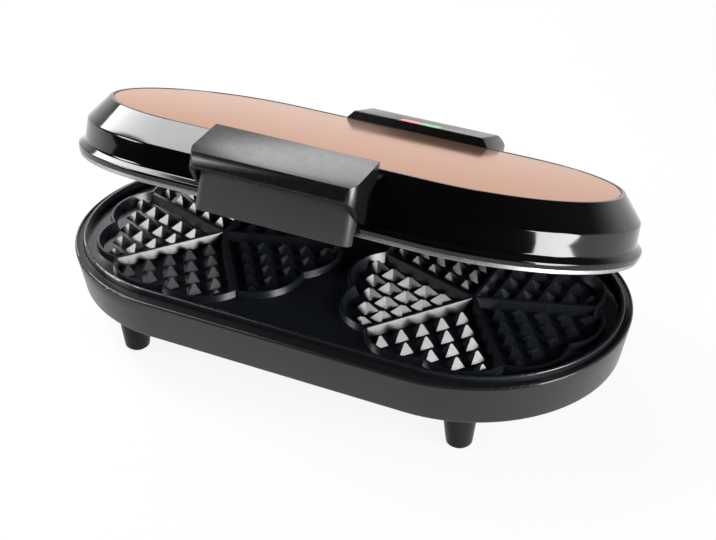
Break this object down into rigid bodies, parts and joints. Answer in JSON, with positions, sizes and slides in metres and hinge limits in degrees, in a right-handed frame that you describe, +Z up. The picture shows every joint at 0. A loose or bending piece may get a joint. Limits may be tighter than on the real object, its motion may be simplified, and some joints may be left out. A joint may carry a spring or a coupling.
{
  "type": "double waffle maker",
  "caption": "Black countertop double waffle maker on four feet, its hinged lid with copper-coloured top panel standing partly open over two heart-waffle plates.",
  "frame": {"origin": "middle of the appliance on the plane it stands on", "axes": "+X along its length to the viewer's right, -Y towards the handle, +Y towards the hinge, +Z up"},
  "size_m": [0.3742, 0.2284, 0.1672],
  "materials": {
    "base_plastic": "satin dark grey-black moulding",
    "rubber": "matte black",
    "screw_steel": "zinc plated",
    "non_stick": "dark non-stick coat, semi-gloss",
    "element_steel": "dull sheath",
    "sheet_steel": "bright sheet",
    "thermostat_steel": "plain",
    "fuse_ceramic": "plain",
    "wire_sleeve": "woven sleeve",
    "terminal_plastic": "plain",
    "gland_rubber": "matte black",
    "pin_steel": "ground",
    "lid_plastic": "glossy black",
    "copper_panel": "satin copper colour",
    "handle_plastic": "satin black",
    "grip_plastic": "satin dark grey",
    "cover_plastic": "satin black",
    "red_lens": "translucent red",
    "green_lens": "translucent green",
    "lamp_glass": "clear",
    "board": "plain board"
  },
  "bodies": {
    "base": {"lower_casing": "base_plastic", "foot_front_left": "base_plastic", "foot_front_right": "base_plastic", "foot_rear_left": "base_plastic", "foot_rear_right": "base_plastic", "foot_pads": "rubber", "foot_screws": "screw_steel", "lower_plate": "non_stick", "lower_heating_element": "element_steel", "lower_element_clamps": "sheet_steel", "lower_clamp_screws": "screw_steel", "lower_reflector": "sheet_steel", "lower_plate_screws": "screw_steel", "lower_thermostat": "thermostat_steel", "thermal_fuse": "fuse_ceramic", "wires": "wire_sleeve", "terminal_block": "terminal_plastic", "cord_gland": "gland_rubber", "hinge_pin_left": "pin_steel", "hinge_pin_right": "pin_steel"},
    "lid": {"upper_casing": "lid_plastic", "copper_top_panel": "copper_panel", "handle_cover": "handle_plastic", "handle_grip": "grip_plastic", "handle_screws": "screw_steel", "hinge_cover": "cover_plastic", "hinge_cover_screws": "screw_steel", "red_lens": "red_lens", "green_lens": "green_lens", "indicator_lamps": "lamp_glass", "lamp_board": "board", "upper_plate": "non_stick", "upper_heating_element": "element_steel", "upper_element_clamps": "sheet_steel", "upper_clamp_screws": "screw_steel", "upper_reflector": "sheet_steel", "upper_thermostat": "thermostat_steel", "upper_plate_screws": "screw_steel"}
  },
  "joints": [
    {"name": "lid_hinge", "type": "hinge", "parent": "base", "child": "lid", "pos_m": [0, 0.1187, 0.0544], "axis": [-1, 0, 0], "range_deg": [-20, 85]}
  ]
}
